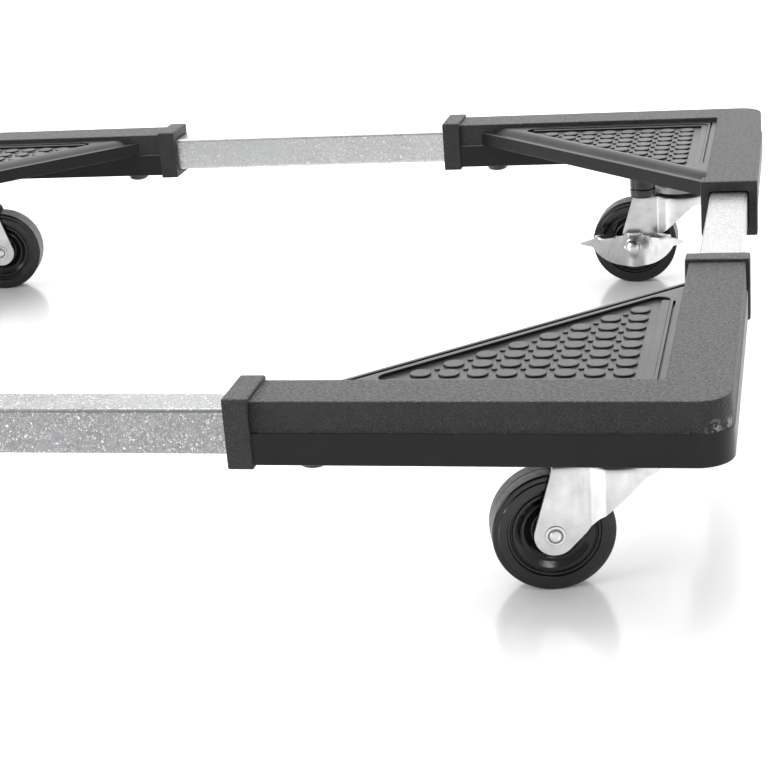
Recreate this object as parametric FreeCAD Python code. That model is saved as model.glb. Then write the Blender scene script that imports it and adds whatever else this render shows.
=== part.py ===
import FreeCAD, Part
import math
import os

# Adjustable rolling base for a household appliance.  Millimetres, +Z up, the floor is z = 0.
# The origin is on the floor, in the middle of the footprint.  +X is the width, +Y the depth.
# Four moulded corners hold four square tubes, which slide in and out to set the size.
# A swivel caster hangs under each corner.

os.makedirs("parts", exist_ok=True)

# --- Frame, at the size it is set to ---
FRAME_WIDTH = 583.0            # between the outer faces of the corners
FRAME_DEPTH = 541.5
ARM_TOP = 97.0                 # load face above the floor

# --- Moulded corner; its two arms run along local +X and +Y from the outer corner ---
ARM_LENGTH = 200.9
ARM_WIDTH = 27.0
ARM_HEIGHT = 27.2
ARM_BOTTOM = ARM_TOP - ARM_HEIGHT
CORNER_RADIUS = 14.0
ARM_EDGE_RADIUS = 0.8
COLLAR_LENGTH = 11.0
COLLAR_PROUD = 1.6
COLLAR_EDGE_RADIUS = 0.9

# --- Square tube and its socket ---
TUBE_SIZE = 20.0
TUBE_WALL = 1.2
TUBE_CORNER_RADIUS = 1.8
TUBE_LENGTH = 400.0
TUBE_INSET = 13.64             # tube centre line behind the corner's outer face
TUBE_DROP = 14.43              # tube centre line below the load face
TUBE_Z = ARM_TOP - TUBE_DROP
SOCKET_CLEARANCE = 0.3
SOCKET_START = 24.6            # closed end of the socket, from the outer face

# --- Triangular gusset between the arms; slanted lines lie on x + y = their sum ---
GUSSET_SUM = 202.5             # outer face of the slanted side
GUSSET_BOTTOM = ARM_TOP - 13.2
WALL_THICKNESS = 3.0
LIP_TOP = ARM_TOP - 5.2        # flat lip along the slanted side
SLOPE_TOP_SUM = 186.3          # the top falls away from here to the lip
SLOPE_FOOT_SUM = 195.6
SLOPE_FOOT = LIP_TOP + 0.2
LIP_GROOVE_WIDTH = 1.1
RIM_TOP = ARM_TOP - 2.5
GROOVE_DEPTH = 0.9
ARM_GROOVE_START = 29.5        # narrow groove beside each arm
ARM_GROOVE_WIDTH = 1.1
ARM_GROOVE_END = 138.0
RECESS_DEPTH = 1.8
RECESS_START = 32.0            # from the corner's outer faces
RECESS_SUM = 183.6
RECESS_CORNER_RADIUS = 5.0
FLOOR_TOP = RIM_TOP - RECESS_DEPTH
PLATE_THICKNESS = 3.0
PLATE_BOTTOM = FLOOR_TOP - PLATE_THICKNESS
STRIP_END = 133.0
STRIP_INNER = 35.9             # inner edge of the flat strip beside each arm
STRIP_HEIGHT = 1.2
DOT_START = 44.5               # centre of the first row of grip dots
DOT_PITCH = 11.98
DOT_ROWS = 8
DOT_RADIUS = 4.5
DOT_HEIGHT = 1.0
STUD_RADIUS = 1.2              # small studs between the dots
STUD_HEIGHT = 0.7
OVERLAP = 0.2                  # how far joined details sink into each other

# --- Bosses and ribs under the gusset ---
SWIVEL_INSET = 50.0            # swivel axis behind both outer faces
BOSS_RADIUS = 15.0
BOSS_BOTTOM = 62.0
STEM_TOP = 86.0
KNOB_INSET = 70.5
KNOB_RADIUS = 7.75
KNOB_BOTTOM = 58.6
KNOB_GROOVE_Z = 64.1
KNOB_GROOVE = 0.7
KNOB_EDGE_RADIUS = 2.0
RIB_THICKNESS = 2.4
RIB_BOTTOM = 76.0

# --- Clamp screw under each arm ---
CLAMP_FROM_CORNER = 168.5
CLAMP_SHANK_RADIUS = 3.0
CLAMP_HEAD_RADIUS = 6.7
CLAMP_HEAD_HEIGHT = 5.2
CLAMP_EDGE_RADIUS = 2.4
CLAMP_GAP = 0.3
CLAMP_SLOT_WIDTH = 1.4
CLAMP_SLOT_DEPTH = 1.0
RUNNING_CLEARANCE = 0.06

# --- Caster; local origin on the swivel axis, the wheel trails towards -X ---
WHEEL_RADIUS = 26.0
WHEEL_HALF_WIDTH = 8.6
TREAD_EDGE_RADIUS = 1.5
TREAD_EDGE_STEPS = 4
TYRE_INNER_RADIUS = 19.5
HUB_HALF_WIDTH = 8.0
HUB_RADIUS = 8.2
HUB_CHAMFER = 0.6
WEB_HALF = 3.6                 # thin web between the hub and the rim
WEB_RADIUS = 12.6
RIM_STEP = [(5.4, 15.2), (6.9, 16.2), (6.9, 17.4), (6.1, 17.8), (6.1, 18.3), (7.2, 18.6)]
TYRE_SEAT_HALF = 7.2
TYRE_STEP_HALF = 7.9
TYRE_STEP_RADIUS = 23.2
TRAIL = 27.3
AXLE_RADIUS = 3.0
SLEEVE_RADIUS = 4.3
WASHER_RADIUS = 7.0
WASHER_THICKNESS = 1.0
SHEET = 1.8                    # fork sheet thickness
LEG_OUTER = 11.1               # half the width over the fork legs
CROWN_TOP = 57.0
CROWN_EDGE_RADIUS = 2.2
LEG_END_RADIUS = 8.8
HEAD_CENTRE_X = 0.8
HEAD_RADIUS = 18.6
LEG_BEND_X = -12.2
HEAD_BEND_X = -7.0
INNER_LEG_BEND = 0.4           # how far the inner bends shift per millimetre of sheet
INNER_HEAD_BEND = 0.6
SKIRT_BOTTOM = 50.6
SKIRT_BOW = [(-14.0, 26.8), (-9.0, 33.5), (0.0, 42.1), (11.0, 50.6)]   # lower edge, up to the nose
SKIRT_TURN = 0.7               # share of the leg radius where its straight edges start
FORK_REAR_TOP_X = -26.7
KINGPIN_RADIUS = 5.0
KINGPIN_HEAD_RADIUS = 8.0
KINGPIN_HEAD_BOTTOM = 51.0
KINGPIN_EDGE_RADIUS = 1.2
KINGPIN_GAP = 0.3
RACE_BOTTOM = 60.25
RACE_LIP_WIDTH = 1.2
RACE_LIP_GAP = 0.9
BALL_RADIUS = 1.5
BALL_CIRCLE_RADIUS = 11.0
BALL_COUNT = 14
RIVET_HEAD_RADIUS = 4.4
RIVET_HEAD_HEIGHT = 0.7
RIVET_BUTTON_RADIUS = 2.9
RIVET_BUTTON_HEIGHT = 1.3

# --- Side brake lever on the braked casters ---
LEVER_INNER = LEG_OUTER + 1.2
LEVER_SHEET = 1.5
LEVER_REACH = 32.0             # pointed ends, from the axle
LEVER_TOP = 6.0
LEVER_BOTTOM = 14.0
LEVER_TIP_LOW = 3.4            # the blunt points stand between these heights
LEVER_TIP_HIGH = 4.6
WING_START = 6.0               # the wings bend outwards from here
WING_REACH = 25.0              # full-height part of a wing
WING_LOW = 1.0                 # lower edge of a wing where its point starts
WING_ANGLE = 22.0
BULGE_HALF = 4.9               # raised middle that covers the nut's side of the axle
BULGE_TOP = 8.0
PEDAL_START = 6.0              # along the wing, from its bend
PEDAL_LENGTH = 13.0
PEDAL_DEPTH = 8.0
PEDAL_CORNER_RADIUS = 3.5
NUT_GAP = 0.3
NUT_ACROSS_FLATS = 9.6
NUT_THICKNESS = 5.0
BOLT_HEAD_HEIGHT = 3.5
BOLT_HEAD_ACROSS_FLATS = 8.0
CAP_RADIUS = 4.7
CAP_LENGTH = 3.8
CAP_EDGE_RADIUS = 3.2

# Each corner: quarter turns of the local corner, signs of its outer corner,
# the heading of its caster's nose in degrees, and whether it has a brake.
CORNERS = {
    "front_left": (0, -1, -1, 186.0, True),
    "front_right": (1, 1, -1, 13.9, False),
    "back_right": (2, 1, 1, -0.9, True),
    "back_left": (3, -1, 1, 191.0, False),
}

X_AXIS = FreeCAD.Vector(1, 0, 0)
Y_AXIS = FreeCAD.Vector(0, 1, 0)
Z_AXIS = FreeCAD.Vector(0, 0, 1)


def point(x, y, z=0.0):
    return FreeCAD.Vector(x, y, z)


def box(x0, x1, y0, y1, z0, z1):
    return Part.makeBox(x1 - x0, y1 - y0, z1 - z0, point(x0, y0, z0))


def cylinder(radius, z0, z1, x=0.0, y=0.0):
    return Part.makeCylinder(radius, z1 - z0, point(x, y, z0))


def ring(outer, inner, z0, z1):
    return cylinder(outer, z0, z1).cut(cylinder(inner, z0 - 1, z1 + 1))


def prism(corners, z0, z1):
    """Vertical prism over a closed polygon given as (x, y) pairs."""
    loop = [point(x, y, z0) for x, y in corners]
    face = Part.Face(Part.makePolygon(loop + loop[:1]))
    return face.extrude(point(0, 0, z1 - z0))


def edges_at(shape, z):
    """Edges that lie wholly at one height."""
    found = []
    for edge in shape.Edges:
        box_of_edge = edge.BoundBox
        if abs(box_of_edge.ZMin - z) < 1e-4 and abs(box_of_edge.ZMax - z) < 1e-4:
            found.append(edge)
    return found


def upright_edges(shape):
    """Straight edges parallel to Z."""
    found = []
    for edge in shape.Edges:
        box_of_edge = edge.BoundBox
        if box_of_edge.XLength < 1e-4 and box_of_edge.YLength < 1e-4:
            found.append(edge)
    return found


def long_edges(shape):
    """Edges that run the whole length of a bar along X."""
    return [edge for edge in shape.Edges if edge.BoundBox.XLength > shape.BoundBox.XLength - 1]


def turned(profile):
    """Solid of revolution about Y from (y, radius) pairs."""
    loop = [point(radius, y) for y, radius in profile]
    face = Part.Face(Part.makePolygon(loop + loop[:1]))
    return face.revolve(point(0, 0), Y_AXIS, 360)


def rod(radius, y0, y1):
    """Cylinder along Y, on the axis through the local origin."""
    return Part.makeCylinder(radius, y1 - y0, point(0, y0), Y_AXIS)


# ---------------------------------------------------------------- moulded corner

def arms():
    """L-shaped beam with a rounded outer corner."""
    r = CORNER_RADIUS
    k = r * (1 - math.cos(math.pi / 4))
    outline = [
        Part.Arc(point(0, r), point(k, k), point(r, 0)).toShape(),
        Part.makeLine(point(r, 0), point(ARM_LENGTH, 0)),
        Part.makeLine(point(ARM_LENGTH, 0), point(ARM_LENGTH, ARM_WIDTH)),
        Part.makeLine(point(ARM_LENGTH, ARM_WIDTH), point(ARM_WIDTH, ARM_WIDTH)),
        Part.makeLine(point(ARM_WIDTH, ARM_WIDTH), point(ARM_WIDTH, ARM_LENGTH)),
        Part.makeLine(point(ARM_WIDTH, ARM_LENGTH), point(0, ARM_LENGTH)),
        Part.makeLine(point(0, ARM_LENGTH), point(0, r)),
    ]
    beam = Part.Face(Part.Wire(outline)).extrude(point(0, 0, ARM_HEIGHT))
    rims = edges_at(beam, 0) + edges_at(beam, ARM_HEIGHT)
    beam = beam.makeFillet(ARM_EDGE_RADIUS, rims)
    beam.translate(point(0, 0, ARM_BOTTOM))
    return beam


def collar():
    """Thicker band around the open end of the arm along X."""
    band = box(ARM_LENGTH - COLLAR_LENGTH, ARM_LENGTH, -COLLAR_PROUD, ARM_WIDTH + COLLAR_PROUD,
               ARM_BOTTOM - COLLAR_PROUD, ARM_TOP + COLLAR_PROUD)
    return band.makeFillet(COLLAR_EDGE_RADIUS, band.Edges)


def socket():
    """Space for the tube in the arm along X."""
    half = TUBE_SIZE / 2 + SOCKET_CLEARANCE
    return box(SOCKET_START, ARM_LENGTH + 1, TUBE_INSET - half, TUBE_INSET + half,
               TUBE_Z - half, TUBE_Z + half)


def swapped(shape):
    """The same shape on the other arm: mirrored across the corner's diagonal."""
    return shape.mirror(point(0, 0), point(1, -1))


def triangle(start, total, z0, z1):
    """Right-angled prism between x = y = start and x + y = total."""
    return prism([(start, start), (total - start, start), (start, total - start)], z0, z1)


def above_slanted_side():
    """Space over the slope, the narrow groove and the lip along the slanted side."""
    outer = (GUSSET_SUM + 2) / math.sqrt(2)
    slope_top = SLOPE_TOP_SUM / math.sqrt(2)
    slope_foot = SLOPE_FOOT_SUM / math.sqrt(2)
    groove_end = slope_foot + LIP_GROOVE_WIDTH
    section = [(slope_top, RIM_TOP), (slope_top, RIM_TOP + 1), (outer, RIM_TOP + 1), (outer, LIP_TOP),
               (groove_end, LIP_TOP), (groove_end, LIP_TOP - GROOVE_DEPTH),
               (slope_foot, LIP_TOP - GROOVE_DEPTH), (slope_foot, SLOPE_FOOT)]
    loop = [point(distance, -GUSSET_SUM, z) for distance, z in section]
    space = Part.Face(Part.makePolygon(loop + loop[:1])).extrude(point(0, 2 * GUSSET_SUM, 0))
    space.rotate(point(0, 0), Z_AXIS, 45)
    return space


def gusset():
    plate = triangle(ARM_WIDTH - 1, GUSSET_SUM, GUSSET_BOTTOM, RIM_TOP)
    recess = triangle(RECESS_START, RECESS_SUM, FLOOR_TOP, RIM_TOP + 1)
    recess = recess.makeFillet(RECESS_CORNER_RADIUS, upright_edges(recess))
    hollow_sum = GUSSET_SUM - WALL_THICKNESS * math.sqrt(2)
    hollow = triangle(ARM_WIDTH - 2, hollow_sum, GUSSET_BOTTOM - 1, PLATE_BOTTOM)
    groove = box(ARM_GROOVE_START, ARM_GROOVE_END, ARM_GROOVE_START, ARM_GROOVE_START + ARM_GROOVE_WIDTH,
                 RIM_TOP - GROOVE_DEPTH, RIM_TOP + 1)
    return plate.cut([recess, hollow, above_slanted_side(), groove, swapped(groove)])


def strip():
    """Flat strip beside the arm along X, ending square short of the slanted side."""
    return box(RECESS_START - OVERLAP, STRIP_END, RECESS_START - OVERLAP, STRIP_INNER,
               FLOOR_TOP - OVERLAP, FLOOR_TOP + STRIP_HEIGHT)


def grip_pattern():
    """Round dots in a right-angled triangle, with small studs between them."""
    pieces = []
    for row in range(DOT_ROWS):
        for column in range(DOT_ROWS - row):
            x = DOT_START + column * DOT_PITCH
            y = DOT_START + row * DOT_PITCH
            pieces.append(cylinder(DOT_RADIUS, FLOOR_TOP - OVERLAP, FLOOR_TOP + DOT_HEIGHT, x, y))
            if row + column < DOT_ROWS - 1:
                half = DOT_PITCH / 2
                pieces.append(cylinder(STUD_RADIUS, FLOOR_TOP - OVERLAP, FLOOR_TOP + STUD_HEIGHT,
                                       x + half, y + half))
    return pieces


def ribs():
    """Webs that tie the caster boss to the arms and to the slanted wall."""
    half = RIB_THICKNESS / 2
    s = SWIVEL_INSET
    top = PLATE_BOTTOM + OVERLAP
    to_arm = box(s - half, s + half, ARM_WIDTH - 1, s, RIB_BOTTOM, top)
    reach = GUSSET_SUM / math.sqrt(2) - WALL_THICKNESS - s * math.sqrt(2) + OVERLAP
    across = box(0, reach, -half, half, GUSSET_BOTTOM, top)
    across.rotate(point(0, 0), Z_AXIS, 45)
    across.translate(point(s, s))
    return [to_arm, swapped(to_arm), across]


def knob():
    """Round two-step boss on the diagonal, inboard of the caster."""
    body = cylinder(KNOB_RADIUS, KNOB_BOTTOM, PLATE_BOTTOM + OVERLAP)
    body = body.makeFillet(KNOB_EDGE_RADIUS, edges_at(body, KNOB_BOTTOM))
    groove = ring(KNOB_RADIUS + 1, KNOB_RADIUS - KNOB_GROOVE, KNOB_GROOVE_Z, KNOB_GROOVE_Z + KNOB_GROOVE)
    body = body.cut(groove)
    body.translate(point(KNOB_INSET, KNOB_INSET))
    return body


def corner():
    """One moulded corner in its local frame, outer corner at the origin."""
    s = SWIVEL_INSET
    solid = arms()
    additions = [gusset(), collar(), swapped(collar()), strip(), swapped(strip()), knob()]
    additions.append(cylinder(BOSS_RADIUS, BOSS_BOTTOM, PLATE_BOTTOM + OVERLAP, s, s))
    additions += ribs()
    additions += grip_pattern()
    solid = solid.fuse(additions)
    clamp_hole = cylinder(CLAMP_SHANK_RADIUS + RUNNING_CLEARANCE, ARM_BOTTOM - 1, TUBE_Z,
                          CLAMP_FROM_CORNER, TUBE_INSET)
    stem_bore = cylinder(KINGPIN_RADIUS, BOSS_BOTTOM - 1, STEM_TOP, s, s)
    solid = solid.cut([socket(), swapped(socket()), clamp_hole, swapped(clamp_hole), stem_bore])
    return solid.removeSplitter().Solids[0]


def clamp_screw():
    """Domed screw under the arm, axis on local Z, its head's top face at z = 0."""
    reach = TUBE_Z - TUBE_SIZE / 2 - ARM_BOTTOM
    shank = cylinder(CLAMP_SHANK_RADIUS, -1, reach)
    head = cylinder(CLAMP_HEAD_RADIUS, -CLAMP_HEAD_HEIGHT, 0)
    head = head.makeFillet(CLAMP_EDGE_RADIUS, edges_at(head, -CLAMP_HEAD_HEIGHT))
    slot = box(-CLAMP_HEAD_RADIUS, CLAMP_HEAD_RADIUS, -CLAMP_SLOT_WIDTH / 2, CLAMP_SLOT_WIDTH / 2,
               -CLAMP_HEAD_HEIGHT - 1, -CLAMP_HEAD_HEIGHT + CLAMP_SLOT_DEPTH)
    return head.cut(slot).fuse(shank).removeSplitter().Solids[0]


def tube():
    """Square tube centred on the origin, along X."""
    half = TUBE_SIZE / 2
    outer = box(-TUBE_LENGTH / 2, TUBE_LENGTH / 2, -half, half, -half, half)
    inner_half = half - TUBE_WALL
    inner = box(-TUBE_LENGTH / 2 - 1, TUBE_LENGTH / 2 + 1, -inner_half, inner_half,
                -inner_half, inner_half)
    outer = outer.makeFillet(TUBE_CORNER_RADIUS, long_edges(outer))
    inner = inner.makeFillet(TUBE_CORNER_RADIUS - TUBE_WALL, long_edges(inner))
    return outer.cut(inner)


# ---------------------------------------------------------------- caster

def fork_plan(inset, z0, z1):
    """Plan of the fork: two legs that step out into a round head, as a prism."""
    half = LEG_OUTER - inset
    rear = -TRAIL - 3 * LEG_END_RADIUS
    radius = HEAD_RADIUS - inset
    bend = HEAD_BEND_X + inset * INNER_HEAD_BEND
    side = math.sqrt(radius ** 2 - (bend - HEAD_CENTRE_X) ** 2)
    leg_bend = LEG_BEND_X + inset * INNER_LEG_BEND
    wall = [
        Part.makeLine(point(rear, -half), point(leg_bend, -half)),
        Part.makeLine(point(leg_bend, -half), point(bend, -side)),
        Part.Arc(point(bend, -side), point(HEAD_CENTRE_X + radius, 0), point(bend, side)).toShape(),
        Part.makeLine(point(bend, side), point(leg_bend, half)),
        Part.makeLine(point(leg_bend, half), point(rear, half)),
        Part.makeLine(point(rear, half), point(rear, -half)),
    ]
    face = Part.Face(Part.Wire(wall))
    face.translate(point(0, 0, z0))
    return face.extrude(point(0, 0, z1 - z0))


def fork_side():
    """Side outline of the fork as a slab across Y: raked legs with round ends, bowed skirt."""
    cx = -TRAIL
    cz = WHEEL_RADIUS
    r = LEG_END_RADIUS
    rear_run = CROWN_TOP - cz
    rear_angle = math.atan2(FORK_REAR_TOP_X - cx + r, rear_run)
    rear = (cx - r * math.cos(rear_angle), cz + r * math.sin(rear_angle))
    turn = r * SKIRT_TURN
    bow_x, bow_z = SKIRT_BOW[0]
    low_angle = math.atan2(bow_z - cz + turn, bow_x - cx - turn)
    front = (cx + r * math.sin(low_angle), cz - r * math.cos(low_angle))
    nose = HEAD_CENTRE_X + HEAD_RADIUS + 2
    half = HEAD_RADIUS + 2
    corners = [front, *SKIRT_BOW, (nose, SKIRT_BOTTOM), (nose, CROWN_TOP + 1),
               (FORK_REAR_TOP_X, CROWN_TOP + 1), rear]
    loop = [point(x, -half, z) for x, z in corners]
    edges = [Part.makeLine(a, b) for a, b in zip(loop, loop[1:])]
    edges.append(Part.Arc(loop[-1], point(cx, -half, cz - r), loop[0]).toShape())
    return Part.Face(Part.Wire(edges)).extrude(point(0, 2 * half, 0))


def fork():
    """Pressed sheet fork: round head, closed nose, two legs down to the axle."""
    outer = fork_plan(0.0, 0.0, CROWN_TOP)
    outer = outer.makeFillet(CROWN_EDGE_RADIUS, edges_at(outer, CROWN_TOP))
    inner = fork_plan(SHEET, -1.0, CROWN_TOP - SHEET)
    shell = outer.cut(inner).common(fork_side())
    stem_hole = cylinder(KINGPIN_RADIUS + RUNNING_CLEARANCE, SKIRT_BOTTOM, CROWN_TOP + 1)
    axle_hole = rod(AXLE_RADIUS, -LEG_OUTER - 1, LEG_OUTER + 1)
    axle_hole.translate(point(-TRAIL, 0, WHEEL_RADIUS))
    return shell.cut([stem_hole, axle_hole]).Solids[0]


def kingpin():
    """Stem pressed into the boss, with a headed end under the fork's crown."""
    shank = cylinder(KINGPIN_RADIUS, KINGPIN_HEAD_BOTTOM + 1, STEM_TOP)
    head = cylinder(KINGPIN_HEAD_RADIUS, KINGPIN_HEAD_BOTTOM, CROWN_TOP - SHEET - KINGPIN_GAP)
    head = head.makeFillet(KINGPIN_EDGE_RADIUS, edges_at(head, KINGPIN_HEAD_BOTTOM))
    return shank.fuse(head).removeSplitter().Solids[0]


def upper_race():
    """Pressed ring above the balls, with a short lip."""
    disc = ring(BOSS_RADIUS, KINGPIN_RADIUS, RACE_BOTTOM, BOSS_BOTTOM)
    lip_bottom = CROWN_TOP + RACE_LIP_GAP
    lip = ring(BOSS_RADIUS, BOSS_RADIUS - RACE_LIP_WIDTH, lip_bottom, RACE_BOTTOM + OVERLAP)
    return disc.fuse(lip).removeSplitter().Solids[0]


def swivel_balls():
    balls = []
    for index in range(BALL_COUNT):
        turn = 2 * math.pi * index / BALL_COUNT
        centre = point(BALL_CIRCLE_RADIUS * math.cos(turn), BALL_CIRCLE_RADIUS * math.sin(turn),
                       RACE_BOTTOM - BALL_RADIUS)
        balls.append(Part.makeSphere(BALL_RADIUS, centre))
    return Part.makeCompound(balls)


def rivet():
    """Axle riveted over at both legs."""
    pin = rod(AXLE_RADIUS, -LEG_OUTER, LEG_OUTER)
    steps = ((RIVET_HEAD_RADIUS, RIVET_HEAD_HEIGHT), (RIVET_BUTTON_RADIUS, RIVET_BUTTON_HEIGHT))
    for radius, height in steps:
        pin = pin.fuse(rod(radius, LEG_OUTER, LEG_OUTER + height))
        pin = pin.fuse(rod(radius, -LEG_OUTER - height, -LEG_OUTER))
    return pin.removeSplitter().Solids[0]


def hexagon(across_flats, y0, y1):
    """Hexagonal block along Y."""
    radius = across_flats / math.sqrt(3)
    turns = [math.pi / 3 * index for index in range(6)]
    loop = [point(radius * math.cos(turn), y0, radius * math.sin(turn)) for turn in turns]
    return Part.Face(Part.makePolygon(loop + loop[:1])).extrude(point(0, y1 - y0, 0))


def axle_bolt():
    """Long axle bolt of a braked caster: head on the plain side, tail on the lever side."""
    tail = LEVER_INNER + LEVER_SHEET + NUT_GAP + NUT_THICKNESS
    pin = rod(AXLE_RADIUS, -tail, LEG_OUTER)
    head = hexagon(BOLT_HEAD_ACROSS_FLATS, LEG_OUTER, LEG_OUTER + BOLT_HEAD_HEIGHT)
    return pin.fuse(head).removeSplitter().Solids[0]


def brake_nut():
    """Hexagonal nut with a domed end, which keeps the lever on its bolt."""
    start = LEVER_INNER + LEVER_SHEET + NUT_GAP
    cap_start = start + NUT_THICKNESS
    cap_end = cap_start + CAP_LENGTH
    nut = hexagon(NUT_ACROSS_FLATS, -cap_start, -start).cut(rod(AXLE_RADIUS, -cap_start, -start))
    cap = rod(CAP_RADIUS, -cap_end, -cap_start)
    outer_edges = [edge for edge in cap.Edges if abs(edge.BoundBox.YMax + cap_end) < 1e-4]
    cap = cap.makeFillet(CAP_EDGE_RADIUS, outer_edges)
    return nut.fuse(cap).removeSplitter().Solids[0]


def lever_band():
    """The lever seen from above: flat in the middle, with both wings bent outwards, as a prism."""
    rise = math.tan(math.radians(WING_ANGLE))
    tip = -LEVER_INNER - rise * (LEVER_REACH - WING_START)
    near = [(-LEVER_REACH, tip), (-WING_START, -LEVER_INNER),
            (WING_START, -LEVER_INNER), (LEVER_REACH, tip)]
    far = [(x, y - LEVER_SHEET) for x, y in reversed(near)]
    return prism(near + far, -LEVER_BOTTOM - 1, BULGE_TOP + 1)


def lever_outline():
    """The lever seen from the side: boat-shaped, with a raised middle and pointed ends."""
    right = [(WING_START, LEVER_TOP), (WING_REACH, LEVER_TOP), (LEVER_REACH, LEVER_TIP_HIGH),
             (LEVER_REACH, LEVER_TIP_LOW), (WING_REACH, WING_LOW)]
    left = [(-x, z) for x, z in reversed(right)]
    outline = left + [(-BULGE_HALF, BULGE_TOP), (BULGE_HALF, BULGE_TOP)] + right
    corners = [point(x, -LEVER_REACH, z) for x, z in outline]
    bow = Part.Arc(corners[-1], point(0, -LEVER_REACH, -LEVER_BOTTOM), corners[0])
    edges = [bow.toShape()] + [Part.makeLine(a, b) for a, b in zip(corners, corners[1:])]
    return Part.Face(Part.Wire(edges)).extrude(point(0, LEVER_REACH, 0))


def pedal(side):
    """Tab bent outwards from the top edge of one wing."""
    tab = box(PEDAL_START, PEDAL_START + PEDAL_LENGTH, -PEDAL_DEPTH, 0, LEVER_TOP - LEVER_SHEET, LEVER_TOP)
    outer_edges = [edge for edge in upright_edges(tab) if edge.BoundBox.YMin < -1]
    tab = tab.makeFillet(PEDAL_CORNER_RADIUS, outer_edges)
    tab.rotate(point(0, 0), Z_AXIS, -WING_ANGLE)
    tab.translate(point(WING_START, -LEVER_INNER))
    return tab if side > 0 else tab.mirror(point(0, 0), X_AXIS)


def brake_lever():
    """Stamped rocker on the axle bolt: a boat-shaped plate with a pedal tab on each wing."""
    plate = lever_band().common(lever_outline())
    hole = rod(AXLE_RADIUS + RUNNING_CLEARANCE, -LEVER_INNER - LEVER_SHEET - 1, -LEVER_INNER + 1)
    return plate.fuse([pedal(-1), pedal(1)]).cut(hole).removeSplitter().Solids[0]


def axle_sleeve():
    """Steel tube on the axle that the wheel turns on."""
    half = LEG_OUTER - SHEET - WASHER_THICKNESS
    return rod(SLEEVE_RADIUS, -half, half).cut(rod(AXLE_RADIUS, -half - 1, half + 1))


def axle_washers():
    """The washers between the sleeve and the two legs."""
    outer = LEG_OUTER - SHEET
    pair = []
    for start in (-outer, outer - WASHER_THICKNESS):
        disc = rod(WASHER_RADIUS, start, start + WASHER_THICKNESS)
        pair.append(disc.cut(rod(AXLE_RADIUS, start - 1, start + WASHER_THICKNESS + 1)))
    return Part.makeCompound(pair)


def mirrored_profile(half):
    """Closed (y, radius) outline from the half on the +Y side, listed outwards from the bore."""
    return half + [(-y, radius) for y, radius in reversed(half)]


def wheel_core():
    """Moulded wheel centre: long hub, dished web and stepped rim."""
    bore = SLEEVE_RADIUS + RUNNING_CLEARANCE
    half = [(HUB_HALF_WIDTH, bore), (HUB_HALF_WIDTH, HUB_RADIUS - HUB_CHAMFER),
            (HUB_HALF_WIDTH - HUB_CHAMFER, HUB_RADIUS), (WEB_HALF, HUB_RADIUS + HUB_CHAMFER),
            (WEB_HALF, WEB_RADIUS)]
    return turned(mirrored_profile(half + RIM_STEP + [(TYRE_SEAT_HALF, TYRE_INNER_RADIUS)]))


def tyre():
    """Solid tyre with a flat tread, rounded shoulders and a shallow step on each side."""
    arc = []
    for step in range(TREAD_EDGE_STEPS + 1):
        turn = math.pi / 2 * step / TREAD_EDGE_STEPS
        arc.append((WHEEL_HALF_WIDTH - TREAD_EDGE_RADIUS * (1 - math.cos(turn)),
                    WHEEL_RADIUS - TREAD_EDGE_RADIUS * (1 - math.sin(turn))))
    step_depth = WHEEL_HALF_WIDTH - TYRE_STEP_HALF
    half = [(TYRE_SEAT_HALF, TYRE_INNER_RADIUS), (TYRE_STEP_HALF, TYRE_INNER_RADIUS + step_depth),
            (TYRE_STEP_HALF, TYRE_STEP_RADIUS), (WHEEL_HALF_WIDTH, TYRE_STEP_RADIUS + step_depth)]
    return turned(mirrored_profile(half + arc))


# ---------------------------------------------------------------- placing and writing

def place_corner(shape, name):
    turns, side_x, side_y = CORNERS[name][:3]
    placed = shape.copy()
    placed.rotate(point(0, 0), Z_AXIS, 90 * turns)
    placed.translate(point(side_x * FRAME_WIDTH / 2, side_y * FRAME_DEPTH / 2))
    return placed


def place_caster(shape, name):
    side_x, side_y, heading = CORNERS[name][1:4]
    placed = shape.copy()
    placed.rotate(point(0, 0), Z_AXIS, heading)
    x = side_x * (FRAME_WIDTH / 2 - SWIVEL_INSET)
    y = side_y * (FRAME_DEPTH / 2 - SWIVEL_INSET)
    placed.translate(point(x, y))
    return placed


def on_axle(shape):
    """Move a piece built about the Y axis to the axle's place in the caster's frame."""
    placed = shape.copy()
    placed.translate(point(-TRAIL, 0, WHEEL_RADIUS))
    return placed


def lever_side(shape, name):
    """The lever stands on the caster's outer side as seen from outside the frame."""
    placed = shape.copy()
    if name == "front_left":
        placed.rotate(point(0, 0), Z_AXIS, 180)
    return placed


def write(shape, node):
    shape.exportStep("parts/" + node + ".step")


def write_corners():
    solid = corner()
    screw = clamp_screw()
    screw.translate(point(CLAMP_FROM_CORNER, TUBE_INSET, ARM_BOTTOM - CLAMP_GAP))
    for name in CORNERS:
        write(place_corner(solid, name), "corner_" + name)
        depth_side, width_side = name.split("_")
        along_x = depth_side + "_tube_" + width_side
        along_y = width_side + "_tube_" + depth_side
        even_turn = CORNERS[name][0] % 2 == 0
        local_x, local_y = (along_x, along_y) if even_turn else (along_y, along_x)
        write(place_corner(screw, name), "clamp_screw_" + local_x)
        write(place_corner(swapped(screw), name), "clamp_screw_" + local_y)


def write_tubes():
    lying = tube()
    for side, sign in (("front", -1), ("back", 1)):
        placed = lying.copy()
        placed.translate(point(0, sign * (FRAME_DEPTH / 2 - TUBE_INSET), TUBE_Z))
        write(placed, side + "_tube")
    for side, sign in (("left", -1), ("right", 1)):
        placed = lying.copy()
        placed.rotate(point(0, 0), Z_AXIS, 90)
        placed.translate(point(sign * (FRAME_WIDTH / 2 - TUBE_INSET), 0, TUBE_Z))
        write(placed, side + "_tube")


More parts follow.
